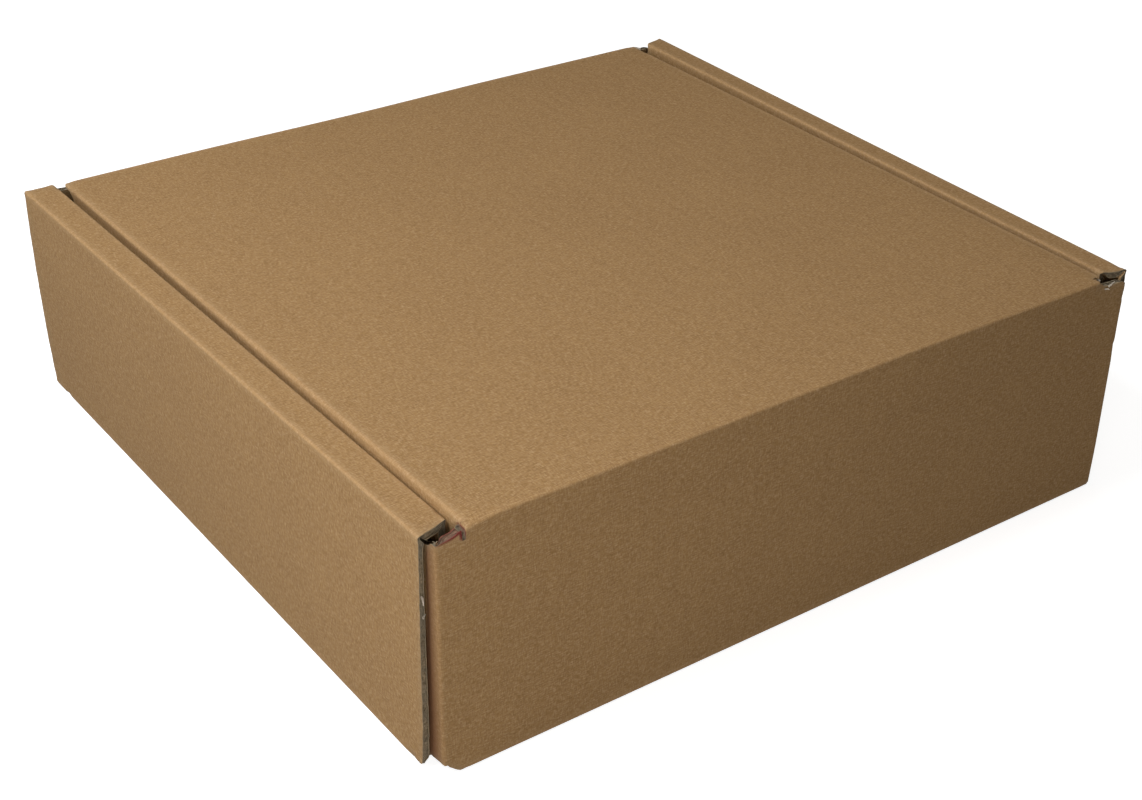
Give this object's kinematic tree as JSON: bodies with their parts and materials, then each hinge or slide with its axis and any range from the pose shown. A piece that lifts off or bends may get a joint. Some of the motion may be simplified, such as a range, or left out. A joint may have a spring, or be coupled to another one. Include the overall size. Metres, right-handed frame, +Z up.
{
  "type": "closed cardboard box",
  "caption": "Closed corrugated mailer box: a tray with rolled double side walls and a hinged lid that tucks in between the side ridges.",
  "frame": {"origin": "middle of the underside, on the surface that the box stands on", "axes": "+Z up, +X along the hinge crease to the right seen from the tuck front, +Y from the tuck front to the hinge wall"},
  "size_m": [0.308, 0.286, 0.09],
  "materials": {
    "kraft_board": "matte brown kraft liner with fine fibres"
  },
  "bodies": {
    "tray": {"tray": "kraft_board"},
    "lid": {"lid": "kraft_board"}
  },
  "joints": [
    {"name": "lid_hinge", "type": "hinge", "parent": "tray", "child": "lid", "pos_m": [0, 0.14212, 0.08912], "axis": [-1, 0, 0], "range_deg": [0, 180]}
  ]
}
